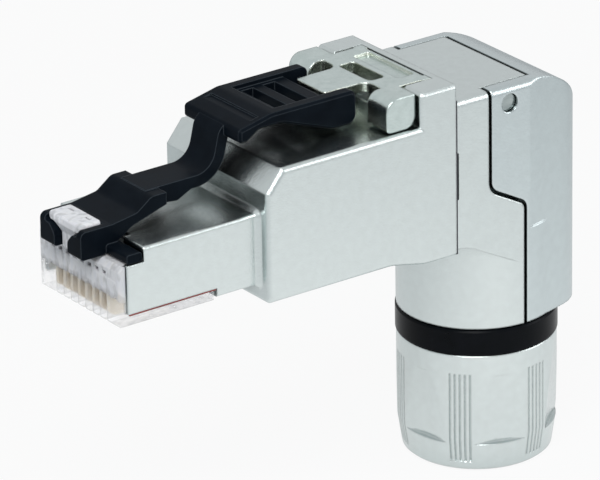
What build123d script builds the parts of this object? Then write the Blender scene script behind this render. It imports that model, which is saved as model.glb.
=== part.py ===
from build123d import *
import os

# Right-angled field plug for shielded network cable, closed and ready to plug in.
# Lengths are millimetres. X runs back from the nose, Y to the side and Z up.
# The origin is the middle of the clear nose's lower front edge.

# Clear nose moulding
nose_width = 11.3
nose_height = 5.17
nose_length = 9.1
nose_lip = 0.6
nose_flange = 1.06
nose_round = 0.35
nose_top_chamfer = 0.45
stub_width = 1.6
stub_front = -0.9
stub_root = 4.3
stub_toe_round = 0.5
stub_flare_rise = 1.33
stub_flare_width = 3.0
stub_flare_round = 0.7
stub_rise = 2.08
stub_head_front = -1.2
stub_head_back = 0.8
stub_head_width = 4.2
stub_head_height = 0.65
stub_head_round = 0.25
stub_slit_x = 0.2
stub_slit_side = 1.1
stub_slit_length = 0.7
stub_slit_width = 0.16
stub_slit_depth = 0.3

# Plug contacts, bent from strip
contact_count = 8
contact_pitch = 1.02
contact_thick = 0.35
contact_front = 0.3
contact_low = 0.4
contact_top = 3.7
contact_blade = 5.6
contact_tail = 7.9
contact_strip = 0.4
contact_round = 0.7
slot_play = 0.1
pocket_low = 4.05
pocket_high = 4.4
pocket_depth = 0.35
pocket_width = 0.5

# Metal shell round the nose, cast in one with the front housing
shell_width = 11.68
shell_wall = 0.5
shell_front = 0.68
shell_roof = 1.28
shell_low = 0.36
shell_floor = 0.6
shell_window_back = 9.17
shell_window_edge = 1.14
shell_play = 0.08
notch_back = 2.3
saddle_back = 2.95
saddle_width = 6.1
shell_edge_round = 0.25
shell_root_chamfer = 0.4

# Front housing
front_x = 13.3
front_width = 14.18
front_low = -1.02
front_face_top = 8.41
front_chamfer_back = 14.82
front_top = 10.27
front_back = 31.98
front_wall = 1.2
front_edge_round = 0.45
front_toe_round = 0.3
belly_start = 25.6
belly_end = 28.9
belly_low = -1.75
belly_round = 4.0
flange_front = 28.5
flange_top = 13.2
flange_chamfer = 0.25
channel_side = 2.34
channel_floor = 11.6
channel_back = 31.35

# Top clip with its tongue over the lever
clip_play = 0.06
clip_corner_round = 0.3
clip_tongue_front = 22.7
clip_tongue_width = 3.9
clip_tongue_under = 12.35
clip_tongue_flare = 0.95
clip_neck_front = 26.9
clip_ear_front = 25.4
clip_ear_back = 28.2
clip_ear_gap = 0.1
clip_ear_inset = 0.44
clip_ear_low = 10.4
clip_ear_front_round = 1.1
clip_ear_toe_round = 0.4
clip_ear_heel_round = 1.0
clip_hole_front = 27.0
clip_hole_back = 28.64
clip_hole_width = 4.4
clip_hole_round = 0.5
clip_groove_width = 0.2
clip_groove_depth = 0.35
clip_groove_end = 0.85
label_front = 29.2
label_back = 30.85
label_width = 6.2
label_depth = 0.25
label_round = 0.3

# Release lever
lever_width = 5.7
lever_front = -1.6
lever_rise = 0.13
lever_height = 2.35
lever_ramp_foot = 0.55
lever_ramp_knee_x = 3.3
lever_ramp_knee_rise = 1.74
lever_shoulder_x = 6.6
lever_shoulder_rise = 2.74
lever_shoulder_thick = 1.01
lever_hump_back = 1.4
lever_hump_front = 2.8
lever_hump_foot = 5.2
lever_hump_rise = 0.38
lever_hump_round = 0.9
lever_toe_round = 0.25
lever_brow_round = 0.5
lever_ramp_foot_round = 1.0
lever_ramp_knee_round = 1.5
lever_edge_chamfer = 0.22
lever_slot_play = 0.13
lever_head_play = 0.15
wing_front = 0.78
wing_back = 2.2
wing_rise = 0.02
wing_thick = 0.78
wing_reach = 5.7
wing_round = 0.2
neck_width = 3.4
neck_thick = 1.0
neck_rise = 3.35
neck_bend_x = 12.15
neck_bend_lean = 0.9
neck_bend_low_round = 2.4
neck_bend_top_round = 0.9
neck_root = 1.2
neck_end_rise = 0.4
neck_gusset_front = 4.8
neck_gusset_back = 8.4
neck_gusset_drop = 1.15
neck_gusset_rise = 0.4
neck_gusset_length = 2.4
neck_gusset_round = 0.6
pad_width = 7.8
pad_front = 13.0
pad_back = 24.5
pad_top = 13.6
pad_front_top = 12.9
pad_front_low = 11.75
pad_ramp_back = 16.2
pad_ramp_round = 2.0
pad_nose_round = 0.35
pad_chin_length = 0.8
pad_arch_front = 15.0
pad_arch_back = 17.2
pad_arch_z = 12.55
pad_arch_round = 1.5
pad_brow_round = 0.6
pad_lobe_x = 22.2
pad_lobe_low = 10.75
pad_lobe_round = 1.5
pad_heel_round = 0.8
pad_arm = 1.0
pad_plate = 1.1
pad_step_x = 15.3
pad_step = 0.38
pad_step_spare = 0.3
pad_well_front = 17.0
pad_well_depth = 0.4
pad_slot_width = 5.0
pad_slot_1_front = 17.7
pad_slot_1_back = 18.85
pad_slot_2_front = 19.8
pad_slot_2_back = 21.0
pad_bar_back = 22.1
catch_front = 23.0
catch_back = 24.3
catch_low = 11.0
catch_gap = 0.2

# Middle housing, rear cover and split barrel
seam_front = 0.25
seam_gap = 0.33
rear_step = 0.39
rear_top = 11.5
rear_reach = 7.65
rear_wall = 1.25
rear_taper_shift = 0.45
rear_back_inset = 1.77
rear_corner_round = 4.0
rear_crown_round = 7.0
rear_edge_round = 0.55
arch_front_z = -1.4
arch_middle_reach = 2.77
arch_middle_z = -2.3
arch_back_z = -4.5
chamber_low = 0.0
barrel_setback = 0.42
barrel_low = -9.8
seam_shift = 3.6
seam_bend_top = 2.89
seam_bend_low = 0.94
seam_upper_round = 1.21
seam_lower_round = 0.85
cheek_thick = 1.3
plate_thick = 1.4
plate_reach = 0.95
plate_slot = 0.35
cheek_play = 0.1
spigot_length = 1.8
spigot_root = 0.5
spigot_wall = 0.9
spigot_play = 0.08
pry_height = 4.1
pry_low = 2.9
pry_width = 0.3
pry_depth = 0.45
hinge_shift = 1.6
hinge_z = 10.07
hinge_pin_radius = 0.75
hinge_pin_length = 2.3
hinge_pin_recess = 0.3
hinge_play = 0.05
hinge_lug_radius = 1.4
hinge_lug_thick = 1.2

# Threaded neck, seal ring, clamping cage, cable seal and union nut
neck_step = 1.1
neck_wall = 0.85
neck_low = -17.3
ring_overhang = 0.08
ring_height = 2.16
ring_gap = 0.15
ring_play = 0.05
ring_chamfer = 0.15
nut_low = -22.83
nut_gap = 0.14
nut_play = 0.15
nut_draft_z = -19.8
nut_end_step = 0.45
nut_end_chamfer = 0.25
nut_mouth_step = 0.55
nut_end_wall = 0.9
nut_cone_height = 0.9
rib_group_count = 6
rib_group_turn = -19.5
rib_groove_count = 5
rib_groove_pitch = 3.7
rib_groove_width = 0.16
rib_groove_depth = 0.14
rib_top = -13.95
rib_low = -22.0
panel_depth = 0.45
panel_top_depth = 0.06
panel_top = -14.1
panel_low = -20.3
panel_turn = 30.0
cage_step = 0.25
cage_wall = 0.6
cage_end_gap = 0.15
cage_neck_gap = 0.02
cage_rim = 0.6
cage_finger_count = 6
cage_slit = 0.6
seal_play = 0.08
seal_wall = 0.92
seal_setback = 0.2

# Inside: contact carrier, board and wire terminals
carrier_back = 14.4
board_front = 12.2
board_back = 29.0
board_side = 0.25
board_thick = 1.0
board_play = 0.05
terminal_front = 26.0
terminal_back = 33.0
terminal_play = 0.06
fork_rows = 2
fork_columns = 4
fork_row_low = 2.5
fork_row_step = 3.9
fork_width = 1.5
fork_thick = 0.4
fork_length = 6.2
fork_reach = 2.4
fork_mouth = 0.4
fork_mouth_depth = 1.8
manager_gap = 0.1
manager_length = 4.2
manager_chamfer = 0.5
wire_hole_radius = 0.65
wire_hole_sides = 6

# Places that follow from the sizes above
shell_channel_width = shell_width - 2 * shell_wall
nose_core_width = shell_channel_width - 2 * shell_play
shell_top = nose_height + shell_roof
stub_flare_low = nose_height + stub_flare_rise
stub_under = nose_height + stub_rise
lever_low = nose_height + lever_rise
lever_top = lever_low + lever_height
lever_ramp_knee_z = lever_low + lever_ramp_knee_rise
lever_shoulder_low = lever_low + lever_shoulder_rise
lever_shoulder_top = lever_shoulder_low + lever_shoulder_thick
wing_low = lever_low + wing_rise
wing_top = wing_low + wing_thick
neck_level = lever_low + neck_rise
neck_gusset_low = neck_level - neck_gusset_drop
shell_channel_top = nose_height + shell_play
notch_floor = shell_channel_top
middle_front = front_back + seam_front
rear_width = front_width - 2 * rear_step
barrel_x = middle_front + barrel_setback + rear_width / 2
rear_back = barrel_x + rear_reach
rear_back_width = rear_width - 2 * rear_back_inset
rear_taper_x = barrel_x + rear_taper_shift
seam_upper_x = barrel_x - seam_shift
hinge_x = barrel_x - hinge_shift
plate_back = barrel_x + plate_reach
plate_width = rear_width - 2 * cheek_thick
cavity_width = front_width - 2 * front_wall
cavity_low = front_low + front_wall
cavity_top = front_top - front_wall
chamber_width = rear_width - 2 * rear_wall
chamber_top = rear_top - rear_wall
channel_width = front_width - 2 * channel_side
clip_ear_inner = pad_width / 2 + clip_ear_gap
clip_ear_outer = front_width / 2 - clip_ear_inset
nut_radius = rear_width / 2
neck_radius = nut_radius - neck_step
neck_bore = neck_radius - neck_wall
ring_radius = nut_radius + ring_overhang
ring_top = barrel_low - ring_gap
ring_low = ring_top - ring_height
nut_top = ring_low - nut_gap
nut_bore = neck_radius + nut_play
cage_radius = neck_radius - cage_step
seal_radius = cage_radius - cage_wall - seal_play
seal_bore = seal_radius - seal_wall
nut_mouth = seal_bore + nut_mouth_step
cage_top = neck_low - cage_neck_gap
cage_low = nut_low + nut_end_wall + nut_cone_height + cage_end_gap
seal_low = cage_low + seal_setback
spigot_bore_width = cavity_width - 2 * spigot_play - 2 * spigot_wall
spigot_bore_low = cavity_low + spigot_play + spigot_wall
spigot_bore_top = cavity_top - spigot_play - spigot_wall
terminal_width = spigot_bore_width - 2 * terminal_play
terminal_low = spigot_bore_low + terminal_play
terminal_top = spigot_bore_top - terminal_play
board_width = terminal_width - 2 * board_side
fork_pitch = board_width / fork_columns
manager_front = terminal_back + manager_gap
fork_tip = terminal_back + fork_reach
big = 100.0


def block(x0, x1, y0, y1, z0, z1):
    """Box between two corners."""
    return Pos((x0 + x1) / 2, (y0 + y1) / 2, (z0 + z1) / 2) * Box(x1 - x0, y1 - y0, z1 - z0)


def bar(x0, x1, width, z0, z1):
    """Box centred on the middle plane."""
    return block(x0, x1, -width / 2, width / 2, z0, z1)


def outline(corners):
    """Closed face from corners given as two coordinates and a corner radius."""
    points = [(a, b) for a, b, radius in corners]
    radii = [radius for a, b, radius in corners]
    return make_face(FilletPolyline(*points, radius=radii, close=True))


def side_form(corners, width):
    """Side outline in X and Z, pulled out equally to both sides of the middle plane."""
    return extrude(Plane.XZ * outline(corners), width / 2, both=True)


def tube(outer, inner, low, top):
    """Round sleeve on the barrel's axis."""
    sleeve = Cylinder(outer, top - low) - Cylinder(inner, 2 * (top - low))
    return Pos(barrel_x, 0, (low + top) / 2) * sleeve


def contact_y(index):
    """Side place of one of the nose's contacts."""
    return (index - (contact_count - 1) / 2) * contact_pitch


def stub_section(play):
    """Front outline of the stub, a stem that flares into its head, grown by a clearance."""
    stem = stub_width / 2 + play
    flare = stub_flare_width / 2 + play
    head = stub_head_width / 2 + play
    top = stub_under + stub_head_height + 2 * play
    right = [
        (stem, stub_root, 0),
        (stem, stub_flare_low - play, stub_flare_round),
        (flare, stub_under - play, stub_head_round),
        (head, stub_under - play, stub_head_round),
        (head, top, stub_head_round),
    ]
    left = [(-y, z, radius) for y, z, radius in reversed(right)]
    return Plane.YZ * outline(right + left)


def nose_stub():
    """Clear stub that stands up in front of the lever and guards it."""
    top = stub_under + stub_head_height
    side = side_form(
        [
            (stub_front, nose_height, stub_toe_round),
            (nose_round, stub_root, 0),
            (nose_lip, stub_root, 0),
            (nose_lip, stub_under, 0),
            (stub_head_back, stub_under, 0),
            (stub_head_back, top, 0),
            (stub_head_front, top, stub_head_round),
            (stub_head_front, stub_under, 0),
            (stub_front, stub_flare_low, 0),
        ],
        stub_head_width,
    )
    stub = extrude(stub_section(0), big, both=True) & side
    for side_turn in (-1, 1):
        stub -= block(
            stub_slit_x,
            stub_slit_x + stub_slit_width,
            side_turn * stub_slit_side - stub_slit_length / 2,
            side_turn * stub_slit_side + stub_slit_length / 2,
            top - stub_slit_depth,
            big,
        )
    return stub


def plug_body():
    """Clear moulding with contact slots and the stub that guards the lever's front."""
    body = bar(0, nose_lip, nose_width, 0, nose_height)
    body += bar(0, nose_length, nose_core_width, 0, nose_height)
    body += bar(0, nose_length, nose_width, 0, nose_flange)
    body &= side_form(
        [
            (0, 0, nose_round),
            (nose_length, 0, 0),
            (nose_length, nose_height, 0),
            (nose_top_chamfer, nose_height, 0),
            (0, nose_height - nose_top_chamfer, 0),
        ],
        nose_width,
    )
    plan = outline(
        [
            (0, -nose_width / 2, nose_round),
            (nose_length, -nose_width / 2, nose_round),
            (nose_length, nose_width / 2, nose_round),
            (0, nose_width / 2, nose_round),
        ]
    )
    body &= extrude(plan, nose_height)
    front = outline(
        [
            (-nose_width / 2, 0, nose_round),
            (nose_width / 2, 0, nose_round),
            (nose_width / 2, nose_height, 0),
            (-nose_width / 2, nose_height, 0),
        ]
    )
    body &= extrude(Plane.YZ * front, nose_length)
    slot_width = contact_thick + 2 * slot_play
    blade_back = contact_front + contact_blade
    for index in range(contact_count):
        y = contact_y(index)
        near = y - slot_width / 2
        far = y + slot_width / 2
        body -= block(-1, blade_back + slot_play, near, far, -1, contact_top + slot_play)
        tail_low = contact_top - contact_strip - slot_play
        body -= block(blade_back, nose_length + 1, near, far, tail_low, contact_top + slot_play)
        pocket_near = y - pocket_width / 2
        body -= block(-1, pocket_depth, pocket_near, pocket_near + pocket_width, pocket_low, pocket_high)
    return body + nose_stub()


def plug_contact(index):
    """Gold blade with a rounded nose and a strip tail that lies under the board."""
    blade_back = contact_front + contact_blade
    tail_back = blade_back + contact_tail
    form = side_form(
        [
            (contact_front, contact_low, contact_round),
            (blade_back, contact_low, 0),
            (blade_back, contact_top - contact_strip, 0),
            (tail_back, contact_top - contact_strip, 0),
            (tail_back, contact_top, 0),
            (contact_front, contact_top, 0),
        ],
        contact_thick,
    )
    return Pos(0, contact_y(index), 0) * form


def contact_carrier():
    """Insulating block behind the nose that guides the tails and holds the board's front."""
    carrier = bar(
        nose_length + shell_play,
        carrier_back,
        nose_core_width,
        shell_low + shell_floor + shell_play,
        nose_height,
    )
    carrier -= bar(
        board_front - board_play,
        big,
        board_width + 2 * board_play,
        contact_top - board_play,
        contact_top + board_thick + board_play,
    )
    slot_width = contact_thick + 2 * slot_play
    for index in range(contact_count):
        y = contact_y(index)
        carrier -= block(
            0,
            big,
            y - slot_width / 2,
            y + slot_width / 2,
            contact_top - contact_strip - slot_play,
            contact_top + slot_play,
        )
    return carrier


def circuit_board():
    """Board between the plug contacts and the wire terminals."""
    return bar(board_front, board_back, board_width, contact_top, contact_top + board_thick)


def fork_place(index):
    """Side place and height of one wire terminal fork."""
    column = index % fork_columns
    row = index // fork_columns
    y = (column - (fork_columns - 1) / 2) * fork_pitch
    return y, fork_row_low + row * fork_row_step


def idc_contact(index):
    """Forked blade that cuts into a wire pushed onto it from behind."""
    y, z = fork_place(index)
    half = fork_width / 2
    fork = block(fork_tip - fork_length, fork_tip, y - half, y + half, z, z + fork_thick)
    mouth_front = fork_tip - fork_mouth_depth
    return fork - block(mouth_front, big, y - fork_mouth / 2, y + fork_mouth / 2, -big, big)


def idc_block():
    """Insulating block that carries the forks and the board's rear edge."""
    body = bar(terminal_front, terminal_back, terminal_width, terminal_low, terminal_top)
    body -= bar(
        terminal_front - 1,
        board_back + board_play,
        board_width + 2 * board_play,
        contact_top - board_play,
        contact_top + board_thick + board_play,
    )
    for index in range(fork_rows * fork_columns):
        y, z = fork_place(index)
        half = fork_width / 2
        body -= block(fork_tip - fork_length, fork_tip, y - half, y + half, z, z + fork_thick)
    return body


def wire_manager():
    """Cap that holds the wires and is pressed onto the forks."""
    back = manager_front + manager_length
    body = bar(manager_front, back, terminal_width, terminal_low, terminal_top)
    body = chamfer(body.faces().sort_by(Axis.X)[-1].edges(), manager_chamfer)
    for index in range(fork_rows * fork_columns):
        y, z = fork_place(index)
        half = fork_width / 2 + slot_play
        body -= block(
            manager_front - 1,
            fork_tip + slot_play,
            y - half,
            y + half,
            z - slot_play,
            z + fork_thick + slot_play,
        )
        hole = Plane.YZ * RegularPolygon(wire_hole_radius, wire_hole_sides)
        body -= Pos(back, y, z + fork_thick / 2) * extrude(hole, manager_length / 2, both=True)
    return body


def front_housing():
    """Die-cast housing with the nose shell, low top, flange and clip channel."""
    body = side_form(
        [
            (front_x, front_low, front_toe_round),
            (front_x, front_face_top, 0),
            (front_chamfer_back, front_top, 0),
            (front_back, front_top, 0),
            (front_back, belly_low, 0),
            (belly_end, belly_low, belly_round),
            (belly_start, front_low, belly_round),
        ],
        front_width,
    )
    long_edges = body.edges().filter_by(lambda e: abs(e.center().Y) > front_width / 2 - 0.01)
    long_edges = long_edges.filter_by(lambda e: e.center().X < front_back - 0.01)
    long_edges = long_edges.filter_by(lambda e: e.center().X > front_x + 0.01)
    body = fillet(long_edges, front_edge_round)
    shell = bar(shell_front, front_x + front_wall, shell_width, shell_low, shell_top)
    shell = fillet(shell.edges().filter_by(Axis.X), shell_edge_round)
    body += shell
    root = body.edges().filter_by(lambda e: abs(e.center().X - front_x) < 0.01)
    root = root.filter_by(lambda e: shell_low - 0.1 < e.center().Z < shell_top + 0.1)
    root = root.filter_by(lambda e: abs(e.center().Y) < shell_width / 2 + 0.1)
    body = chamfer(root, shell_root_chamfer)
    flange = bar(flange_front, front_back, front_width, front_top - 1, flange_top)
    flange_edges = flange.edges().filter_by(lambda e: e.center().Z > front_top + 0.5)
    flange_edges = flange_edges.filter_by(lambda e: e.center().X < front_back - 0.01)
    flange = chamfer(flange_edges, flange_chamfer)
    body += flange
    body -= bar(flange_front - 1, channel_back, channel_width, channel_floor, big)
    channel_end = front_x + 2 * front_wall
    channel_low = shell_low + shell_floor
    body -= bar(shell_front - 1, channel_end, shell_channel_width, channel_low, shell_channel_top)
    body -= bar(shell_front - 1, shell_window_back, shell_channel_width, -big, shell_channel_top)
    body -= bar(shell_front - 1, shell_window_back, big, -big, shell_window_edge)
    body -= bar(shell_front - 1, notch_back, big, notch_floor, big)
    body -= bar(shell_front - 1, saddle_back, saddle_width, notch_floor, big)
    body -= bar(front_x + front_wall, front_back + 1, cavity_width, cavity_low, cavity_top)
    return body


def rounded_pocket(x0, x1, width, low, radius):
    """Upright prism with rounded corners that cuts down to a level from above."""
    corners = [
        (x0, -width / 2, radius),
        (x1, -width / 2, radius),
        (x1, width / 2, radius),
        (x0, width / 2, radius),
    ]
    return Pos(0, 0, low) * extrude(outline(corners), big)


def top_clip():
    """Metal clip on the flange with two ears, a tongue over the lever and a bare panel."""
    neck_half = channel_width / 2 - clip_play
    tongue_half = clip_tongue_width / 2
    back = channel_back - clip_play
    corners = [
        (clip_tongue_front, -tongue_half, clip_corner_round),
        (clip_neck_front, -tongue_half, clip_tongue_flare),
        (clip_neck_front, -clip_ear_inner, clip_corner_round),
        (clip_ear_front, -clip_ear_inner, clip_corner_round),
        (clip_ear_front, -clip_ear_outer, clip_corner_round),
        (clip_ear_back, -clip_ear_outer, 0),
        (clip_ear_back, -neck_half, 0),
        (back, -neck_half, 0),
    ]
    mirrored = [(x, -y, radius) for x, y, radius in reversed(corners)]
    clip = Pos(0, 0, channel_floor) * extrude(outline(corners + mirrored), flange_top - channel_floor)
    clip -= bar(clip_tongue_front - 1, clip_neck_front, clip_tongue_width + 1, -big, clip_tongue_under)
    ear = side_form(
        [
            (clip_ear_front, clip_ear_low, clip_ear_toe_round),
            (clip_ear_back, clip_ear_low, clip_ear_heel_round),
            (clip_ear_back, flange_top, 0),
            (clip_ear_front, flange_top, clip_ear_front_round),
        ],
        clip_ear_outer - clip_ear_inner,
    )
    ear_y = (clip_ear_outer + clip_ear_inner) / 2
    groove_low = flange_top - clip_groove_depth
    for side in (-1, 1):
        near, far = sorted((side * clip_ear_inner, side * big))
        clip -= block(-big, clip_ear_back, near, far, -big, big)
        clip += Pos(0, side * ear_y, 0) * ear
        near, far = sorted((side * (neck_half - clip_groove_width), side * big))
        clip -= block(clip_ear_back, back - clip_groove_end, near, far, groove_low, big)
    end_width = 2 * (neck_half - clip_groove_end)
    clip -= bar(back - clip_groove_width, big, end_width, groove_low, big)
    clip -= rounded_pocket(clip_hole_front, clip_hole_back, clip_hole_width, -big / 2, clip_hole_round)
    clip -= rounded_pocket(label_front, label_back, label_width, flange_top - label_depth, label_round)
    return clip


def lever_front_block():
    """Front end of the lever with its hump, its wings and the notch round the clear stub."""
    front = side_form(
        [
            (lever_front, lever_low, lever_toe_round),
            (lever_ramp_foot, lever_low, lever_ramp_foot_round),
            (lever_ramp_knee_x, lever_ramp_knee_z, lever_ramp_knee_round),
            (lever_shoulder_x, lever_shoulder_low, 0),
            (lever_shoulder_x, lever_shoulder_top, 0),
            (lever_shoulder_x - lever_hump_back, lever_shoulder_top, lever_hump_round),
            (lever_shoulder_x - lever_hump_front, lever_top + lever_hump_rise, lever_hump_round),
            (lever_shoulder_x - lever_hump_foot, lever_top, 0),
            (lever_front, lever_top, lever_brow_round),
        ],
        lever_width,
    )
    wings = bar(wing_front, wing_back, 2 * wing_reach, wing_low, wing_top)
    front += fillet(wings.edges().filter_by(Axis.Y), wing_round)
    notch = extrude(stub_section(lever_slot_play), big, both=True)
    stem_side = block(-big, nose_lip + lever_slot_play, -big, big, -big, big)
    head_back = stub_head_back + lever_slot_play
    head_side = block(-big, head_back, -big, big, stub_under - lever_head_play, big)
    front -= notch & (stem_side + head_side)
    front -= bar(-big, nose_lip + lever_slot_play, stub_width + 2 * lever_slot_play, -big, stub_flare_low)
    return front


def lever_neck():
    """Thin neck that bends up from the front block to the pad, with its gusset."""
    neck_top = pad_front_top - neck_thick / 2
    path = FilletPolyline(
        (lever_shoulder_x - neck_root, neck_level),
        (neck_bend_x, neck_level),
        (neck_bend_x + neck_bend_lean, neck_top),
        (pad_ramp_back, neck_top + neck_end_rise),
        radius=[neck_bend_low_round, neck_bend_top_round],
    )
    neck = extrude(Plane.XZ * trace(path, neck_thick), neck_width / 2, both=True)
    gusset = side_form(
        [
            (neck_gusset_front, neck_gusset_low + neck_gusset_rise, 0),
            (neck_gusset_back, neck_gusset_low, neck_gusset_round),
            (neck_gusset_back + neck_gusset_length, neck_level, 0),
            (neck_gusset_front, neck_level, 0),
        ],
        neck_width,
    )
    return neck + gusset


def lever_pad():
    """Thumb pad between two arms, with its well, two slots and the catch below."""
    pad = side_form(
        [
            (pad_front, pad_front_low, pad_nose_round),
            (pad_front, pad_front_top, pad_nose_round),
            (pad_ramp_back, pad_top, pad_ramp_round),
            (pad_back, pad_top, pad_brow_round),
            (pad_back, pad_lobe_low, pad_heel_round),
            (pad_lobe_x, pad_lobe_low, pad_lobe_round),
            (pad_arch_back, pad_arch_z, pad_arch_round),
            (pad_arch_front, pad_arch_z, pad_brow_round),
            (pad_front + pad_chin_length, pad_front_low, pad_nose_round),
        ],
        pad_width,
    )
    crown = pad.edges().filter_by(lambda e: abs(e.center().Y) > pad_width / 2 - 0.01)
    crown = crown.filter_by(lambda e: e.center().Z > pad_front_top)
    pad = chamfer(crown, lever_edge_chamfer)
    inner_width = pad_width - 2 * pad_arm
    pad -= bar(pad_well_front, big, inner_width, pad_top - pad_well_depth, big)
    pad -= bar(pad_well_front, big, inner_width, -big, pad_top - pad_plate - pad_well_depth)
    pad -= bar(pad_slot_1_front, pad_slot_1_back, pad_slot_width, -big, big)
    pad -= bar(pad_slot_2_front, pad_slot_2_back, pad_slot_width, -big, big)
    pad -= bar(pad_bar_back, big, inner_width, -big, big)
    pad -= bar(-big, pad_step_x, inner_width + 2 * pad_step_spare, pad_top - pad_step, big)
    catch = bar(catch_front, catch_back, pad_width - pad_arm, catch_low, clip_tongue_under - catch_gap)
    return pad + catch


def release_lever():
    """One-piece lever: guarded front block, thin neck and a pad between two arms."""
    return lever_front_block() + lever_neck() + lever_pad()


def rear_outer():
    """Outer form of middle housing, rear cover and barrel in one piece."""
    underside = Spline(
        (middle_front, arch_front_z),
        (middle_front + arch_middle_reach, arch_middle_z),
        (barrel_x, arch_back_z),
        tangents=((1, 0), (1, -0.5)),
    )
    rest = Polyline(
        (barrel_x, arch_back_z),
        (barrel_x, barrel_low),
        (rear_back, barrel_low),
        (rear_back, rear_top),
        (middle_front, rear_top),
        (middle_front, arch_front_z),
    )
    profile = make_face([underside, rest])
    crown = profile.vertices().sort_by(lambda v: v.X + v.Y)[-1]
    profile = fillet(crown, rear_crown_round)
    side = extrude(Plane.XZ * profile, rear_width, both=True)
    plan = outline(
        [
            (middle_front, -rear_width / 2, 0),
            (rear_taper_x, -rear_width / 2, 0),
            (rear_back, -rear_back_width / 2, rear_corner_round),
            (rear_back, rear_back_width / 2, rear_corner_round),
            (rear_taper_x, rear_width / 2, 0),
            (middle_front, rear_width / 2, 0),
        ]
    )
    form = side & (Pos(0, 0, -big) * extrude(plan, 2 * big))
    section = outline(
        [
            (-rear_width / 2, -big, 0),
            (rear_width / 2, -big, 0),
            (rear_width / 2, rear_top, rear_edge_round),
            (-rear_width / 2, rear_top, rear_edge_round),
        ]
    )
    form &= extrude(Plane.YZ * section, big)
    barrel_top = arch_front_z
    barrel_middle = (barrel_low + barrel_top) / 2
    form += Pos(barrel_x, 0, barrel_middle) * Cylinder(rear_width / 2, barrel_top - barrel_low)
    return form


def rear_hollow():
    """Chamber for the wires and the round way down to the neck."""
    back = rear_back - rear_wall
    plan = outline(
        [
            (middle_front - spigot_length - 1, -chamber_width / 2, 0),
            (rear_taper_x, -chamber_width / 2, 0),
            (back, -rear_back_width / 2 + rear_wall, rear_corner_round - rear_wall),
            (back, rear_back_width / 2 - rear_wall, rear_corner_round - rear_wall),
            (rear_taper_x, chamber_width / 2, 0),
            (middle_front - spigot_length - 1, chamber_width / 2, 0),
        ]
    )
    prism = Pos(0, 0, -big) * extrude(plan, 2 * big)
    side = side_form(
        [
            (middle_front - 1, chamber_low, 0),
            (back, chamber_low, 0),
            (back, chamber_top, rear_crown_round - rear_wall),
            (middle_front - 1, chamber_top, 0),
        ],
        rear_width,
    )
    bore = Pos(barrel_x, 0, 0) * Cylinder(neck_bore, 2 * big)
    bore &= block(-big, big, -big, big, -big, chamber_low + 0.1)
    return (side & prism) + bore


def seam_halves():
    """Region in front of the cover's seam, and the narrow band of the seam itself."""
    upper = (seam_upper_x, seam_bend_top)
    lower = (barrel_x, seam_bend_low)
    ahead = side_form(
        [
            (-big, big, 0),
            (seam_upper_x, big, 0),
            (*upper, seam_upper_round),
            (*lower, seam_lower_round),
            (barrel_x, -big, 0),
            (-big, -big, 0),
        ],
        2 * rear_width,
    )
    path = FilletPolyline(
        (seam_upper_x, 2 * rear_top),
        upper,
        lower,
        (barrel_x, 2 * neck_low),
        radius=[seam_upper_round, seam_lower_round],
    )
    band = extrude(Plane.XZ * trace(path, seam_gap), rear_width, both=True)
    return ahead, band


def threaded_neck():
    """Sleeve below the barrel that the union nut closes on."""
    return tube(neck_radius, neck_bore, neck_low, barrel_low + 1)


def hinge_bore():
    """Hole along the hinge axis through both cheeks."""
    hole = Cylinder(hinge_pin_radius + hinge_play, 2 * rear_width, rotation=(90, 0, 0))
    return Pos(hinge_x, 0, hinge_z) * hole


def middle_housing():
    """Fixed half: block behind the front housing, hinge plate and front of the barrel."""
    ahead, band = seam_halves()
    hollow = rear_hollow()
    body = (rear_outer() - hollow) & ahead
    body -= band
    neck_half = threaded_neck() & ahead
    body += neck_half - band
    plate = bar(seam_upper_x - 1, plate_back, plate_width, rear_top - plate_thick, rear_top)
    for side in (-1, 1):
        lug_y = side * (plate_width / 2 - hinge_lug_thick / 2)
        lug = Cylinder(hinge_lug_radius, hinge_lug_thick, rotation=(90, 0, 0))
        lug_root = Pos(0, 0, (rear_top - hinge_z) / 4)
        lug += lug_root * Box(2 * hinge_lug_radius, hinge_lug_thick, (rear_top - hinge_z) / 2)
        plate += Pos(hinge_x, lug_y, hinge_z) * lug
    plate &= block(-big, big, -big, big, -big, rear_top)
    body += plate
    body -= hinge_bore()
    spigot = bar(
        middle_front - spigot_length,
        middle_front + spigot_root,
        cavity_width - 2 * spigot_play,
        cavity_low + spigot_play,
        cavity_top - spigot_play,
    )
    body += spigot
    body -= bar(
        middle_front - spigot_length - 1,
        middle_front + rear_wall,
        spigot_bore_width,
        spigot_bore_low,
        spigot_bore_top,
    )
    for side in (-1, 1):
        near = side * rear_width / 2 - pry_depth
        far = near + 2 * pry_depth
        body -= block(middle_front, middle_front + pry_width, near, far, pry_low, pry_low + pry_height)
    return body


def rear_cover():
    """Hinged half: cheeks, rounded back and rear of the barrel."""
    ahead, band = seam_halves()
    body = rear_outer() - rear_hollow()
    body -= ahead
    body -= band
    neck_half = threaded_neck() - ahead
    body += neck_half - band
    body -= bar(
        seam_upper_x - 1,
        plate_back + plate_slot,
        plate_width + 2 * cheek_play,
        rear_top - plate_thick - cheek_play,
        big,
    )
    body -= hinge_bore()
    return body


def hinge_pin(side):
    """Short pin through a cheek and the plate's lug, its end set back in the cheek."""
    outer = rear_width / 2 - hinge_pin_recess
    y = side * (outer - hinge_pin_length / 2)
    pin = Cylinder(hinge_pin_radius, hinge_pin_length, rotation=(90, 0, 0))
    return Pos(hinge_x, y, hinge_z) * pin


def gland_ring():
    """Black seal ring between barrel and nut."""
    ring = tube(ring_radius, neck_radius + ring_play, ring_low, ring_top)
    return chamfer(ring.faces().sort_by(Axis.Z)[-1].outer_wire().edges(), ring_chamfer)


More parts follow.
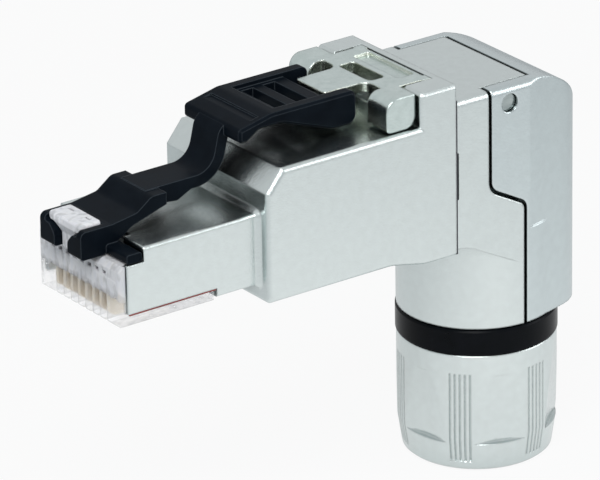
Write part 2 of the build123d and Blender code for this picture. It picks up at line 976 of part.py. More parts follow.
def clamping_cage():
    """Slit collar below the neck whose fingers grip the seal."""
    cage = tube(cage_radius, cage_radius - cage_wall, cage_low, cage_top)
    slit_top = cage_top - cage_rim
    for index in range(cage_finger_count):
        slit = Pos(cage_radius, 0, 0) * Box(3 * cage_wall, cage_slit, slit_top - cage_low)
        turned = Rot(0, 0, 360 * (index + 0.5) / cage_finger_count) * slit
        cage -= Pos(barrel_x, 0, (slit_top + cage_low) / 2) * turned
    return cage


def cable_seal():
    """Rubber sleeve that the cable passes through."""
    top = neck_low - cage_rim
    return tube(seal_radius, seal_bore, seal_low, top)


def nut_wall(inset):
    """Outer line of the nut from its drawn-in lower end to its top, set in by an amount."""
    radius = nut_radius - inset
    return [
        (radius - nut_end_step, nut_low),
        (radius, nut_draft_z),
        (radius, nut_top),
    ]


def nut_groove():
    """One upright grip groove that keeps its depth down the nut's drawn-in end."""
    rim = [(nut_radius + 1, nut_top), (nut_radius + 1, nut_low)]
    floor = make_face(Polyline(*nut_wall(rib_groove_depth), *rim, close=True))
    form = extrude(Plane.XZ * floor, rib_groove_width / 2, both=True)
    return form & block(0, nut_radius + 1, -big, big, rib_low, rib_top)


def union_nut():
    """Round nut with grouped grooves, shallow panels and a drawn-in lower end."""
    hollow = [
        (nut_bore, nut_top),
        (nut_bore, nut_low + nut_end_wall + nut_cone_height),
        (nut_mouth, nut_low + nut_end_wall),
        (nut_mouth, nut_low),
    ]
    section = make_face(Polyline(*nut_wall(0), *hollow, close=True))
    nut = revolve(Plane.XZ * section, Axis.Z, 360)
    end_edge = nut.edges().filter_by(GeomType.CIRCLE).sort_by(Axis.Z)[:2].sort_by(SortBy.RADIUS)[-1]
    nut = chamfer(end_edge, nut_end_chamfer)
    panel = side_form(
        [
            (nut_radius - panel_top_depth, panel_top, 0),
            (nut_radius + 1, panel_top, 0),
            (nut_radius + 1, panel_low, 0),
            (nut_radius - panel_depth, panel_low, 0),
        ],
        2 * nut_radius,
    )
    groove = nut_groove()
    for group in range(rib_group_count):
        group_turn = rib_group_turn + group * 360 / rib_group_count
        nut -= Rot(0, 0, group_turn + panel_turn) * panel
        for line in range(rib_groove_count):
            turn = group_turn + (line - (rib_groove_count - 1) / 2) * rib_groove_pitch
            nut -= Rot(0, 0, turn) * groove
    return Pos(barrel_x, 0, 0) * nut


def build_nodes():
    """Every node of the plug by name."""
    nodes = {
        "front_housing": front_housing(),
        "plug_body": plug_body(),
        "contact_carrier": contact_carrier(),
        "circuit_board": circuit_board(),
        "idc_block": idc_block(),
        "wire_manager": wire_manager(),
        "release_lever": release_lever(),
        "top_clip": top_clip(),
        "middle_housing": middle_housing(),
        "rear_cover": rear_cover(),
        "hinge_pin_near": hinge_pin(-1),
        "hinge_pin_far": hinge_pin(1),
        "gland_ring": gland_ring(),
        "clamping_cage": clamping_cage(),
        "cable_seal": cable_seal(),
        "union_nut": union_nut(),
    }
    for index in range(contact_count):
        nodes[f"contact_{index + 1}"] = plug_contact(index)
    for index in range(fork_rows * fork_columns):
        nodes[f"idc_contact_{index + 1}"] = idc_contact(index)
    return nodes


os.makedirs("parts", exist_ok=True)
for name, solid in build_nodes().items():
    export_step(solid, f"parts/{name}.step")
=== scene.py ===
"""Right-angled field plug: finishes, fine pieces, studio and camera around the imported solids."""

import logging
import math
from dataclasses import dataclass
from enum import Enum

import bmesh
import bpy
from mathutils import Matrix, Quaternion, Vector


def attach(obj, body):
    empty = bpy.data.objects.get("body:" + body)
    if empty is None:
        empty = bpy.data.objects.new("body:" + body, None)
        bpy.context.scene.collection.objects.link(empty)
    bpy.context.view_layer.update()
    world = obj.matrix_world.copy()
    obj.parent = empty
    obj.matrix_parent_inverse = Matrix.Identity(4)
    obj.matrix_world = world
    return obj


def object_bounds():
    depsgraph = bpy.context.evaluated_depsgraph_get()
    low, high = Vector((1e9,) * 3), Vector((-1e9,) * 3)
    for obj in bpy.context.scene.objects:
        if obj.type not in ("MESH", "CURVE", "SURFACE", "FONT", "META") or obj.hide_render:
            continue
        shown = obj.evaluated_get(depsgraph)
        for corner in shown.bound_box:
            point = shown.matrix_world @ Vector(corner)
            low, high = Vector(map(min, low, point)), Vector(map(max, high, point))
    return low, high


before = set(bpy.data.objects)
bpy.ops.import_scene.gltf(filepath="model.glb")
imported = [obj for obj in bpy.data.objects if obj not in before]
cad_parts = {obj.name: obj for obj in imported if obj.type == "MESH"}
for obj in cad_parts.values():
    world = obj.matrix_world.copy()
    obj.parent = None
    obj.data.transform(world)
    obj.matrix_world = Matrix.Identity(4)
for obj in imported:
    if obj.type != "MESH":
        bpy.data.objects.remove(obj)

LOG = logging.getLogger("field_plug")
MM = 0.001
CAD_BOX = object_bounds()

# Places of the colour sockets on the Mix node, whose names its other types share.
MIX_FIRST = 6
MIX_SECOND = 7
MIX_RESULT = 2

Triple = tuple[float, float, float]
Colour = Triple
Span = tuple[float, float]

WHITE: Colour = (1.0, 1.0, 1.0)


class Body(Enum):
    """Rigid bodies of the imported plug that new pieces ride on."""

    HOUSING = "housing"


class Slot(Enum):
    """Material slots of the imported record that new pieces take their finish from."""

    CLEAR = "clear_polycarbonate"
    BLACK = "black_plastic"


class Side(Enum):
    """Sides of the plug, with the sign of Y there."""

    NEAR = -1
    FAR = 1


class Ray(Enum):
    """Kinds of rays that the backdrop tells apart, as the Light Path node names them."""

    CAMERA = "Is Camera Ray"
    TRANSMISSION = "Is Transmission Ray"
    GLOSSY = "Is Glossy Ray"


class Blend(Enum):
    """Ways to lay one colour over another, as the Mix node names them."""

    REPLACE = "MIX"
    MULTIPLY = "MULTIPLY"


def feed(socket: bpy.types.NodeSocket, value: object) -> None:
    """Link an input to another node's output, or set its value.

    Args:
        socket: Input of a node.
        value: Output socket to link, or the value to set.
    """
    if isinstance(value, bpy.types.NodeSocket):
        socket.id_data.links.new(value, socket)
    else:
        socket.default_value = value


def mix_shaders(
    factor: bpy.types.NodeSocket,
    first: bpy.types.NodeSocket,
    second: bpy.types.NodeSocket,
) -> bpy.types.NodeSocket:
    """Mix two surface or background shaders of one node tree.

    Args:
        factor: Share of the second shader.
        first: Shader at a factor of 0.
        second: Shader at a factor of 1.

    Returns:
        The mixed shader's socket.
    """
    mix = factor.id_data.nodes.new("ShaderNodeMixShader")
    for socket, value in zip(mix.inputs, (factor, first, second)):
        feed(socket, value)
    return mix.outputs[0]


class Shader:
    """One procedural material, built node by node."""

    bevel_samples: int = 6
    # Painted shade in hollows: its samples, the lighter colour painted into the tightest gaps as
    # bounced light, and the shares of open sky where that shade is darkest and where it ends.
    painted_shade_samples: int = 8
    painted_bounce_light: Colour = (0.85, 0.85, 0.85)
    painted_shade_dark_at: float = 0.3
    painted_shade_open_at: float = 0.72
    # Turns of the rounded normal where the painted highlight along sharp edges starts and where it
    # is full.
    highlight_flat_at: float = 0.995
    highlight_turned_at: float = 0.86

    def __init__(self, name: str) -> None:
        """Start an empty node tree with an output and an object coordinate.

        Args:
            name: Name of the material.
        """
        self.material = bpy.data.materials.new(name)
        self.material.use_nodes = True
        self.tree = self.material.node_tree
        self.tree.nodes.clear()
        self.output = self.node("OutputMaterial")
        self.place = self.node("TexCoord").outputs["Object"]

    def node(self, kind: str, **settings: object) -> bpy.types.Node:
        """Add a node.

        Args:
            kind: Blender's name for the node type, without its ShaderNode prefix.
            **settings: Properties of the node, or values or sockets for its inputs under their
                names, with underscores for blanks.

        Returns:
            The new node.
        """
        made = self.tree.nodes.new("ShaderNode" + kind)
        for key, value in settings.items():
            socket = made.inputs.get(key.replace("_", " "))
            if socket is None:
                setattr(made, key, value)
            else:
                feed(socket, value)
        return made

    def noise(
        self,
        scale: float,
        detail: float = 2.0,
        stretch: Triple | None = None,
    ) -> bpy.types.NodeSocket:
        """Add a noise pattern on object coordinates.

        Args:
            scale: Repeats per metre.
            detail: Number of finer layers.
            stretch: Scale along X, Y and Z, or None for an even pattern.

        Returns:
            The pattern's factor socket.
        """
        where = self.place
        if stretch is not None:
            where = self.node("Mapping", Vector=self.place, Scale=stretch).outputs["Vector"]
        return self.node("TexNoise", Vector=where, Scale=scale, Detail=detail).outputs["Fac"]

    def ramp(
        self,
        factor: bpy.types.NodeSocket,
        low: Colour,
        high: Colour,
        start: float = 0.3,
        end: float = 0.7,
    ) -> bpy.types.NodeSocket:
        """Turn a factor into a colour between two ends.

        Args:
            factor: Pattern from 0 to 1.
            low: Colour at and below start.
            high: Colour at and above end.
            start: Factor where the low colour ends.
            end: Factor where the high colour begins.

        Returns:
            The ramp's colour socket.
        """
        made = self.node("ValToRGB", Fac=factor)
        first, last = made.color_ramp.elements
        first.position = start
        last.position = end
        first.color = (*low, 1.0)
        last.color = (*high, 1.0)
        return made.outputs["Color"]

    def span(self, factor: bpy.types.NodeSocket, low: float, high: float) -> bpy.types.NodeSocket:
        """Map a factor from 0 to 1 onto a range from low to high."""
        return self.node("MapRange", Value=factor, To_Min=low, To_Max=high).outputs["Result"]

    def soft_edge(self, radius: float) -> bpy.types.NodeSocket:
        """Return a normal that is rounded over sharp edges, with the radius in metres."""
        return self.node("Bevel", Radius=radius, samples=self.bevel_samples).outputs["Normal"]

    def bump(
        self,
        height: bpy.types.NodeSocket,
        depth: float,
        strength: float,
        normal: bpy.types.NodeSocket,
    ) -> bpy.types.NodeSocket:
        """Add relief to the shading.

        Args:
            height: Pattern of the relief.
            depth: Depth of the relief in metres.
            strength: Share of the relief that shows.
            normal: Normal that the relief starts from.

        Returns:
            The bumped normal's socket.
        """
        relief = self.node("Bump", Height=height, Distance=depth, Strength=strength, Normal=normal)
        return relief.outputs["Normal"]

    def mix(
        self,
        first: bpy.types.NodeSocket,
        second: bpy.types.NodeSocket | Colour,
        factor: bpy.types.NodeSocket | float,
        blend: Blend,
    ) -> bpy.types.NodeSocket:
        """Lay one colour over another.

        Args:
            first: Colour at a factor of 0.
            second: Colour that is laid over it.
            factor: Share of the blend that shows.
            blend: How the second colour goes over the first.

        Returns:
            The blended colour's socket.
        """
        made = self.node("Mix", data_type="RGBA", blend_type=blend.value, Factor=factor)
        feed(made.inputs[MIX_FIRST], first)
        feed(made.inputs[MIX_SECOND], (*second, 1.0) if isinstance(second, tuple) else second)
        return made.outputs[MIX_RESULT]

    def paint_shade_in_hollows(
        self,
        colour: bpy.types.NodeSocket,
        reach: float,
        shade: Colour,
    ) -> bpy.types.NodeSocket:
        """Paint shade into a colour where other faces stand close, as in corners and under the
        lever.

        Args:
            colour: Colour of the open surface.
            reach: How near, in metres, another face counts.
            shade: What the colour is multiplied by where the painted shade is darkest.

        Returns:
            The darkened colour's socket.
        """
        # Painted shade: ambient occlusion darkens the colour, most at a middle share, and paints
        # bounced light back into the tightest gaps.
        openness = self.node("AmbientOcclusion", Distance=reach, samples=self.painted_shade_samples)
        made = self.node("ValToRGB", Fac=openness.outputs["AO"])
        made.color_ramp.interpolation = "EASE"
        near, far = made.color_ramp.elements
        near.position = 0.0
        near.color = (*self.painted_bounce_light, 1.0)
        far.position = self.painted_shade_open_at
        far.color = (*WHITE, 1.0)
        made.color_ramp.elements.new(self.painted_shade_dark_at).color = (*shade, 1.0)
        return self.mix(colour, made.outputs["Color"], 1.0, Blend.MULTIPLY)

    def edge(
        self,
        colour: bpy.types.NodeSocket,
        reach: float,
        tone: Colour,
    ) -> bpy.types.NodeSocket:
        """Paint a highlight into a colour along sharp edges.

        Args:
            colour: Colour of the flat surface.
            reach: Distance from the edge, in metres, that is changed.
            tone: Colour of the painted highlight along the edge.

        Returns:
            The changed colour's socket.
        """
        # Painted highlight: the more the rounded normal turns from the true one, the more the
        # colour goes over to the highlight colour.
        turn = self.node("VectorMath", operation="DOT_PRODUCT")
        feed(turn.inputs[0], self.soft_edge(reach))
        feed(turn.inputs[1], self.node("NewGeometry").outputs["Normal"])
        share = self.node(
            "MapRange",
            Value=turn.outputs["Value"],
            From_Min=self.highlight_flat_at,
            From_Max=self.highlight_turned_at,
        )
        return self.mix(colour, tone, share.outputs["Result"], Blend.REPLACE)

    def principled(self, **sockets: object) -> bpy.types.Material:
        """Add the surface shader with values or sockets for its inputs, and close the tree."""
        feed(self.output.inputs["Surface"], self.node("BsdfPrincipled", **sockets).outputs["BSDF"])
        return self.material


@dataclass(frozen=True)
class DieCastFinish:
    """Satin nickel over a die casting, with cast grain, a fine cloudiness and painted shade where
    other faces stand close.
    """

    name: str
    light: Colour = (0.73, 0.795, 0.79)
    dark: Colour = (0.70, 0.76, 0.755)
    roughness: Span = (0.2, 0.27)
    cloud_scale: float = 1400.0
    grain_scale: float = 6500.0
    grain_depth: float = 0.00003
    grain_strength: float = 0.6
    edge_radius: float = 0.00026
    # Reach and darkest colour of the painted shade in corners and under the lever.
    painted_shade_reach: float = 0.0055
    darkest_painted_shade: Colour = (0.15, 0.165, 0.16)

    def make(self) -> bpy.types.Material:
        """Build the material.

        Returns:
            The metal's material.
        """
        shader = Shader(self.name)
        cloud = shader.noise(self.cloud_scale, detail=3.0)
        grain = shader.noise(self.grain_scale, detail=3.0)
        metal = shader.ramp(cloud, self.dark, self.light)
        edge = shader.soft_edge(self.edge_radius)
        return shader.principled(
            # The base colour carries painted shade where other faces stand close.
            Base_Color=shader.paint_shade_in_hollows(metal, self.painted_shade_reach, self.darkest_painted_shade),
            Metallic=1.0,
            Roughness=shader.span(cloud, *self.roughness),
            Normal=shader.bump(grain, self.grain_depth, self.grain_strength, edge),
        )


@dataclass(frozen=True)
class MouldedFinish:
    """Opaque moulded plastic with a fine satin texture, and a painted highlight along sharp edges
    where a highlight colour is given.
    """

    name: str
    light: Colour
    dark: Colour
    roughness: Span = (0.34, 0.5)
    specular: float = 0.5
    cloud_scale: float = 600.0
    grain_scale: float = 6000.0
    grain_depth: float = 0.00001
    grain_strength: float = 0.15
    edge_radius: float = 0.00012
    # Reach and colour of the painted highlight along sharp edges; None paints none.
    edge_highlight_reach: float = 0.00014
    edge_highlight_colour: Colour | None = None

    def make(self) -> bpy.types.Material:
        """Build the material.

        Returns:
            The plastic's material.
        """
        shader = Shader(self.name)
        cloud = shader.noise(self.cloud_scale, detail=3.0)
        grain = shader.noise(self.grain_scale)
        colour = shader.ramp(cloud, self.dark, self.light)
        # Painted highlight along sharp edges.
        if self.edge_highlight_colour is not None:
            colour = shader.edge(colour, self.edge_highlight_reach, self.edge_highlight_colour)
        edge = shader.soft_edge(self.edge_radius)
        return shader.principled(
            Base_Color=colour,
            Roughness=shader.span(cloud, *self.roughness),
            Normal=shader.bump(grain, self.grain_depth, self.grain_strength, edge),
            Specular_IOR_Level=self.specular,
        )


@dataclass(frozen=True)
class ClearFinish:
    """Clear polycarbonate with faint flow lines, hazier above the contact slots, with painted
    shade as thin dark lines in the corners of the slots.
    """

    name: str
    tint: Colour = (0.985, 0.99, 1.0)
    shade: Colour = (0.9, 0.92, 0.97)
    roughness: Span = (0.03, 0.09)
    refraction: float = 1.5
    flow_scale: float = 900.0
    flow_stretch: Triple = (1.0, 3.0, 1.0)
    flow_depth: float = 0.00002
    flow_strength: float = 0.2
    haze_from: float = 0.0021
    haze_full: float = 0.003
    streak_scale: float = 1300.0
    streak_stretch: Triple = (1.0, 1.3, 0.7)
    streak_share: float = 0.3
    streak_span: Span = (0.3, 0.7)
    clarity: Span = (0.7, 0.25)
    cover: Span = (0.3, 0.9)
    edge_radius: float = 0.00015
    # Reach and darkest colour of the painted shade along the slots' corners.
    painted_shade_reach: float = 0.00022
    darkest_painted_shade: Colour = (0.45, 0.42, 0.45)

    def haze(self, shader: Shader) -> bpy.types.NodeSocket:
        """Add the haze that rises with height and is broken up by streaks.

        Args:
            shader: Material that the nodes go into.

        Returns:
            The haze's socket, from 0 where the plastic is clear to 1.
        """
        level = shader.node(
            "MapRange",
            Value=shader.node("SeparateXYZ", Vector=shader.place).outputs["Z"],
            From_Min=self.haze_from,
            From_Max=self.haze_full,
        )
        streak = shader.node(
            "MapRange",
            Value=shader.noise(self.streak_scale, detail=1.0, stretch=self.streak_stretch),
            From_Min=self.streak_span[0],
            From_Max=self.streak_span[1],
            To_Min=-self.streak_share,
            To_Max=self.streak_share,
        )
        cloud = shader.node("Math", operation="ADD", use_clamp=True)
        feed(cloud.inputs[0], level.outputs["Result"])
        feed(cloud.inputs[1], streak.outputs["Result"])
        return cloud.outputs[0]

    def make(self) -> bpy.types.Material:
        """Build the material.

        Returns:
            The clear moulding's material.
        """
        shader = Shader(self.name)
        flow = shader.noise(self.flow_scale, stretch=self.flow_stretch)
        plastic = shader.ramp(flow, self.shade, self.tint)
        haze = self.haze(shader)
        edge = shader.soft_edge(self.edge_radius)
        return shader.principled(
            # The colour carries painted shade in the corners of the slots.
            Base_Color=shader.paint_shade_in_hollows(plastic, self.painted_shade_reach, self.darkest_painted_shade),
            Roughness=shader.span(flow, *self.roughness),
            Transmission_Weight=shader.span(haze, *self.clarity),
            Alpha=shader.span(haze, *self.cover),
            IOR=self.refraction,
            Normal=shader.bump(flow, self.flow_depth, self.flow_strength, edge),
        )


@dataclass(frozen=True)
class PlatedFinish:
    """Bright plating on stamped strip or turned wire, with light drawing marks."""

    name: str
    light: Colour
    dark: Colour
    roughness: Span = (0.14, 0.26)
    metal: float = 1.0
    mark_scale: float = 2400.0
    mark_stretch: Triple = (0.2, 1.0, 1.0)
    edge_radius: float = 0.00008

    def make(self) -> bpy.types.Material:
        """Build the material.

        Returns:
            The plated metal's material.
        """
        shader = Shader(self.name)
        marks = shader.noise(self.mark_scale, stretch=self.mark_stretch)
        return shader.principled(
            Base_Color=shader.ramp(marks, self.dark, self.light),
            Metallic=self.metal,
            Roughness=shader.span(marks, *self.roughness),
            Normal=shader.soft_edge(self.edge_radius),
        )


class Finishes:
    """Every finish of the plug, each made once."""

    def __init__(self) -> None:
        """Make the materials."""
        self.housing = DieCastFinish("satin_nickel_housing").make()
        self.clip = DieCastFinish(
            "sandy_nickel_clip",
            light=(0.69, 0.78, 0.76),
            dark=(0.62, 0.71, 0.69),
            roughness=(0.18, 0.28),
            grain_scale=8500.0,
            grain_strength=0.7,
            # The painted shade in the clip's slots is light and warm, painting the warm light
            # reflected in them.
            darkest_painted_shade=(1.0, 0.92, 0.82),
        ).make()
        # The cover's nickel is a darker, bluer copy of the housing's, painting the shade that
        # falls on the cover.
        self.cover = DieCastFinish(
            "satin_nickel_cover",
            light=(0.66, 0.735, 0.745),
            dark=(0.63, 0.70, 0.71),
        ).make()
        self.nut = DieCastFinish(
            "satin_nickel_nut",
            roughness=(0.16, 0.22),
            # Mild painted shade in the nut's grooves.
            darkest_painted_shade=(0.8, 0.82, 0.82),
        ).make()
        self.pin = PlatedFinish(
            "turned_pin",
            light=(0.5, 0.56, 0.55),
            dark=(0.36, 0.41, 0.41),
        ).make()
        self.lever = MouldedFinish(
            "black_lever_plastic",
            light=(0.005, 0.008, 0.012),
            dark=(0.003, 0.005, 0.008),
            roughness=(0.28, 0.4),
            specular=0.03,
            edge_radius=0.0002,
            # Colour of the painted highlight along the lever's sharp edges.
            edge_highlight_colour=(0.045, 0.055, 0.065),
        ).make()
        self.ring = MouldedFinish(
            "black_seal_ring",
            light=(0.003, 0.004, 0.006),
            dark=(0.001, 0.002, 0.003),
            roughness=(0.2, 0.3),
            specular=0.08,
        ).make()
        self.rubber = MouldedFinish(
            "cable_seal_rubber",
            light=(0.03, 0.03, 0.032),
            dark=(0.02, 0.02, 0.022),
            roughness=(0.6, 0.8),
        ).make()
        self.clear = ClearFinish("clear_polycarbonate").make()
        self.gold = PlatedFinish(
            "gold_contact",
            light=(1.0, 0.92, 0.78),
            dark=(0.98, 0.84, 0.62),
            metal=0.6,
        ).make()
        self.bronze = PlatedFinish(
            "tinned_bronze",
            light=(0.72, 0.6, 0.45),
            dark=(0.6, 0.48, 0.36),
        ).make()
        # Red-brown colour of the painted shade in the gap along the shell's lower edge.
        self.gasket = MouldedFinish(
            "red_brown_gasket",
            light=(0.30, 0.05, 0.04),
            dark=(0.16, 0.02, 0.02),
        ).make()
        # Colour of the painted shade in the pockets and in the joint behind the front housing.
        self.shadow = MouldedFinish(
            "pocket_shadow",
            light=(0.05, 0.05, 0.06),
            dark=(0.02, 0.02, 0.03),
        ).make()
        self.terminal = MouldedFinish(
            "terminal_plastic",
            light=(0.8, 0.8, 0.76),
            dark=(0.72, 0.72, 0.68),
        ).make()
        self.board = MouldedFinish(
            "board_laminate",
            light=(0.03, 0.2, 0.1),
            dark=(0.02, 0.14, 0.07),
            roughness=(0.25, 0.35),
        ).make()


def dress(node: str, material: bpy.types.Material) -> None:
    """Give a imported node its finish.

    Args:
        node: Name of the node.
        material: Finish to put on it.
    """
    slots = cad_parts[node].data.materials
    slots.clear()
    slots.append(material)
    LOG.info("dressed %s with %s", node, material.name)


class Piece:
    """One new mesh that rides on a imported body."""

    def __init__(self, name: str) -> None:
        """Start an empty mesh under the piece's name."""
        self.name = name
        self.sheet = bmesh.new()

    def slab(self, low: Triple, high: Triple, edge: float) -> None:
        """Add a slab with rounded edges.

        Args:
            low: Lowest corner in millimetres.
            high: Highest corner in millimetres.
            edge: Rounding of its edges in millimetres.
        """
        first, last = Vector(low), Vector(high)
        place = Matrix.LocRotScale((first + last) / 2 * MM, None, (last - first) * MM)
        made = bmesh.ops.create_cube(self.sheet, size=1.0, matrix=place)
        edges = list(dict.fromkeys(side for corner in made["verts"] for side in corner.link_edges))
        bmesh.ops.bevel(
            self.sheet,
            geom=edges,
            offset=edge * MM,
            offset_type="OFFSET",
            segments=2,
            profile=0.5,
            affect="EDGES",
            material=-1,
        )

    def finish(self, material: bpy.types.Material, body: Body) -> None:
        """Turn the mesh into an object, dress it and hang it on its body.

        Args:
            material: Finish of the piece.
            body: Body that it rides on.
        """
        mesh = bpy.data.meshes.new(self.name)
        self.sheet.to_mesh(mesh)
        self.sheet.free()
        mesh.materials.append(material)
        piece = bpy.data.objects.new(self.name, mesh)
        bpy.context.scene.collection.objects.link(piece)
        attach(piece, body.value)
        LOG.info("built %s, %d faces, on %s", self.name, len(mesh.polygons), body.value)


@dataclass(frozen=True)
class SideLine:
    """Thin line that stands out on both sides of the plug, with its sizes in millimetres."""

    name: str
    front: float
    back: float
    low: float
    high: float
    inner: float
    outer: float
    edge: float = 0.03

    def build(self, material: bpy.types.Material) -> None:
        """Build one slab on each side.

        Args:
            material: Finish of both.
        """
        for side in Side:
            first, last = sorted((side.value * self.inner, side.value * self.outer))
            line = Piece(f"{self.name}_{side.name.lower()}")
            line.slab((self.front, first, self.low), (self.back, last, self.high), self.edge)
            line.finish(material, Body.HOUSING)


@dataclass
class Nose:
    """Clear moulding, its contacts, the block behind them and what closes the slots' upper part.

    Sizes are in millimetres.
    """

    contacts: int = 8
    pitch: float = 1.02
    web_width: float = 10.4
    web_low: float = 2.45
    web_high: float = 3.95
    web_front: float = -0.012
    web_back: float = 0.2
    web_edge: float = 0.05
    # Sizes of the dark slabs of painted shade in the pockets.
    pocket_low: float = 4.07
    pocket_high: float = 4.38
    pocket_width: float = 0.46
    pocket_front: float = 0.27
    pocket_back: float = 0.34
    pocket_edge: float = 0.02

    def dress(self, finishes: Finishes) -> None:
        """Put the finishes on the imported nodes.

        Args:
            finishes: The plug's finishes.
        """
        dress("plug_body", finishes.clear)
        dress("contact_carrier", finishes.terminal)
        for index in range(self.contacts):
            dress(f"contact_{index + 1}", finishes.gold)

    def build(self, finishes: Finishes) -> None:
        """Build the web across the slots and the dark slabs of painted shade in the pockets above
        it.

        Args:
            finishes: The plug's finishes.
        """
        web = Piece("slot_web")
        web.slab(
            (self.web_front, -self.web_width / 2, self.web_low),
            (self.web_back, self.web_width / 2, self.web_high),
            self.web_edge,
        )
        web.finish(finishes.clear, Body.HOUSING)
        # Dark slabs put into the pockets as painted shade.
        shadow_slabs = Piece("pocket_shadow_slabs")
        for index in range(self.contacts):
            middle = (index - (self.contacts - 1) / 2) * self.pitch
            shadow_slabs.slab(
                (self.pocket_front, middle - self.pocket_width / 2, self.pocket_low),
                (self.pocket_back, middle + self.pocket_width / 2, self.pocket_high),
                self.pocket_edge,
            )
        shadow_slabs.finish(finishes.shadow, Body.HOUSING)


@dataclass
class Housing:
    """Front and middle housing, clip, cover and its pins, and thin lines of painted shade in the
    gaps at their joints.
    """

    # Red-brown line of painted shade in the gap between the shell and the clear moulding.
    gasket: SideLine = SideLine(
        "gasket", front=0.8, back=9.1, low=1.0, high=1.135, inner=5.66, outer=5.84
    )
    # Dark line of painted shade in the gap behind the front housing.
    seam_shade: SideLine = SideLine(
        "seam_shade", front=32.15, back=32.4, low=-1.8, high=11.6, inner=6.6, outer=6.725
    )

    def dress(self, finishes: Finishes) -> None:
        """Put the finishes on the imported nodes.

        Args:
            finishes: The plug's finishes.
        """
        for node in ("front_housing", "middle_housing"):
            dress(node, finishes.housing)
        dress("rear_cover", finishes.cover)
        dress("top_clip", finishes.clip)
        for node in ("hinge_pin_near", "hinge_pin_far"):
            dress(node, finishes.pin)

    def build(self, finishes: Finishes) -> None:
        """Build the red-brown line of painted shade along the shell's lower edge and the dark one
        in the joint behind the front housing.
        """
        self.gasket.build(finishes.gasket)
        self.seam_shade.build(finishes.shadow)


class Lever:
    """Black release lever."""

    def dress(self, finishes: Finishes) -> None:
        """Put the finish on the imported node."""
        dress("release_lever", finishes.lever)


class Gland:
    """Ring, nut, clamping cage and cable seal."""

    def dress(self, finishes: Finishes) -> None:
        """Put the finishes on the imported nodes.

        Args:
            finishes: The plug's finishes.
        """
        dress("gland_ring", finishes.ring)
        dress("union_nut", finishes.nut)
        dress("clamping_cage", finishes.lever)
        dress("cable_seal", finishes.rubber)


@dataclass
class Terminals:
    """Board, terminal block, forks and the cap over the wires."""

    forks: int = 8

    def dress(self, finishes: Finishes) -> None:
        """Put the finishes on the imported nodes.

        Args:
            finishes: The plug's finishes.
        """
        dress("circuit_board", finishes.board)
        dress("idc_block", finishes.terminal)
        dress("wire_manager", finishes.terminal)
        for index in range(self.forks):
            dress(f"idc_contact_{index + 1}", finishes.bronze)


@dataclass(frozen=True)
class Lamp:
    """Soft square lamp, with its offset from the plug and its side in metres, power in watts."""

    name: str
    offset: Triple
    side: float
    power: float

    def hang(self, centre: Vector) -> None:
        """Hang the lamp and point it at the plug.

        Args:
            centre: What the lamp points at.
        """
        data = bpy.data.lights.new(self.name, "AREA")
        data.shape = "SQUARE"
        data.size = self.side
        data.energy = self.power
        lamp = bpy.data.objects.new(self.name, data)
        place = centre + Vector(self.offset)
        lamp.location = place
        lamp.rotation_mode = "QUATERNION"
        lamp.rotation_quaternion = (centre - place).to_track_quat("-Z", "Y")
        bpy.context.scene.collection.objects.link(lamp)


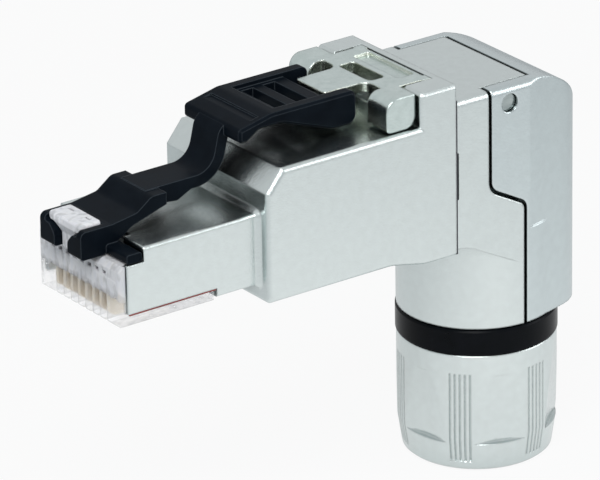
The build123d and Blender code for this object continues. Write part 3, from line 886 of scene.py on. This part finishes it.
@dataclass
class Studio:
    """Pale floor, even room, soft lamps and the camera at the photo's viewing angle.

    Lengths are in metres but for the lens and the sensor, which are in millimetres, and angles
    are in degrees.
    """

    centre: Triple = (0.023, 0.0, -0.002)
    eye: Triple = (-0.22901, -0.35057, 0.18503)
    azimuth: float = 35.54
    elevation: float = -23.23
    roll: float = 1.0
    lens: float = 347.9
    sensor: float = 36.0
    shift: Span = (0.00047, -0.0006)
    clip_range: Span = (0.01, 10.0)
    backdrop: float = 0.93
    floor_drop: float = 0.00005
    floor_reach: float = 2.0
    floor_colour: Colour = (0.44, 0.46, 0.47)
    # Share of the backdrop that reflections see on the floor away from the painted bright patch of
    # light, and that patch's centre and reach.
    floor_in_metal: float = 0.15
    painted_light_centre: Triple = (0.03, -0.045, -0.0245)
    painted_light_reach: float = 0.14
    room_colour: Colour = (0.94, 0.97, 1.0)
    room_strength: float = 0.45
    room_in_metal: float = 0.38
    lamps: tuple[Lamp, ...] = (
        Lamp("key", offset=(-0.3, -0.3, 0.5), side=0.35, power=3.0),
        Lamp("fill", offset=(0.5, -0.35, 0.25), side=0.4, power=1.2),
    )

    def camera(self) -> None:
        """Set up the long-lens camera."""
        data = bpy.data.cameras.new("camera")
        data.lens = self.lens
        data.sensor_width = self.sensor
        data.shift_x, data.shift_y = self.shift
        data.clip_start, data.clip_end = self.clip_range
        azimuth = math.radians(self.azimuth)
        elevation = math.radians(self.elevation)
        look = Vector((
            math.sin(azimuth) * math.cos(elevation),
            math.cos(azimuth) * math.cos(elevation),
            math.sin(elevation),
        ))
        camera = bpy.data.objects.new("camera", data)
        camera.rotation_mode = "QUATERNION"
        turn = Quaternion(look, math.radians(self.roll))
        camera.rotation_quaternion = turn @ look.to_track_quat("-Z", "Y")
        camera.location = self.eye
        bpy.context.scene.collection.objects.link(camera)
        bpy.context.scene.camera = camera

    def seen_share(
        self,
        tree: bpy.types.NodeTree,
        in_metal: float | bpy.types.NodeSocket,
    ) -> bpy.types.NodeSocket:
        """Work out how much of the plain white backdrop each kind of ray sees.

        Args:
            tree: Node tree of the floor or the world.
            in_metal: Share that reflections see.

        Returns:
            A factor: the backdrop's share for the camera, 1 for rays through clear parts, the
            share in metal for reflections and 0 for light that falls on the plug.
        """
        path = tree.nodes.new("ShaderNodeLightPath")
        shares = {Ray.CAMERA: self.backdrop, Ray.TRANSMISSION: 1.0, Ray.GLOSSY: in_metal}
        total = 0.0
        for ray, share in shares.items():
            part = tree.nodes.new("ShaderNodeMath")
            part.operation = "MULTIPLY_ADD"
            for socket, value in zip(part.inputs, (path.outputs[ray.value], share, total)):
                feed(socket, value)
            total = part.outputs[0]
        return total

    def floor_material(self) -> bpy.types.Material:
        """Build the floor's material.

        Returns:
            A pale material with a painted bright patch of light that only reflections see, clear
            from below.
        """
        shader = Shader("pale_floor")
        where = shader.node(
            "Mapping",
            Vector=shader.place,
            vector_type="TEXTURE",
            Location=self.painted_light_centre,
            Scale=(self.painted_light_reach,) * 3,
        )
        # Painted light: a bright patch on the floor, brightest at its centre, that only
        # reflections see.
        painted_light = shader.node(
            "TexGradient",
            Vector=where.outputs["Vector"],
            gradient_type="SPHERICAL",
        )
        in_metal = shader.span(painted_light.outputs["Fac"], self.floor_in_metal, 1.0)
        plain = shader.node("BsdfDiffuse", Color=(*self.floor_colour, 1.0)).outputs[0]
        white = shader.node("Emission", Color=(*WHITE, 1.0), Strength=1.0).outputs[0]
        above = mix_shaders(self.seen_share(shader.tree, in_metal), plain, white)
        from_below = shader.node("NewGeometry").outputs["Backfacing"]
        clear = shader.node("BsdfTransparent").outputs[0]
        feed(shader.output.inputs["Surface"], mix_shaders(from_below, above, clear))
        return shader.material

    def floor(self) -> None:
        """Lay a pale floor under the plug, which a view from below looks through."""
        mesh = bpy.data.meshes.new("floor")
        sheet = bmesh.new()
        bmesh.ops.create_grid(sheet, x_segments=1, y_segments=1, size=self.floor_reach)
        level = CAD_BOX[0][2] - self.floor_drop
        bmesh.ops.translate(sheet, verts=sheet.verts, vec=(0.0, 0.0, level))
        sheet.to_mesh(mesh)
        sheet.free()
        floor = bpy.data.objects.new("floor", mesh)
        bpy.context.scene.collection.objects.link(floor)
        mesh.materials.append(self.floor_material())

    def world(self) -> None:
        """Fill the room with an even, pale light before a white backdrop."""
        world = bpy.data.worlds.new("room")
        world.use_nodes = True
        bpy.context.scene.world = world
        tree = world.node_tree
        room = tree.nodes["Background"]
        room.inputs["Color"].default_value = (*self.room_colour, 1.0)
        room.inputs["Strength"].default_value = self.room_strength
        white = tree.nodes.new("ShaderNodeBackground")
        white.inputs["Color"].default_value = (*WHITE, 1.0)
        white.inputs["Strength"].default_value = 1.0
        share = self.seen_share(tree, self.room_in_metal)
        surface = tree.nodes["World Output"].inputs["Surface"]
        feed(surface, mix_shaders(share, room.outputs[0], white.outputs[0]))

    def build(self) -> None:
        """Set up camera, floor, world and lamps."""
        self.camera()
        self.floor()
        self.world()
        for lamp in self.lamps:
            lamp.hang(Vector(self.centre))
        bpy.context.scene.view_settings.view_transform = "Standard"


def main() -> None:
    """Dress every sub-assembly, add the fine pieces and set up the studio."""
    logging.basicConfig(level=logging.INFO, format="%(message)s")
    finishes = Finishes()
    nose, housing = Nose(), Housing()
    for part in (nose, housing, Lever(), Gland(), Terminals()):
        part.dress(finishes)
    for part in (nose, housing):
        part.build(finishes)
    Studio().build()


if __name__ == "__main__":
    main()
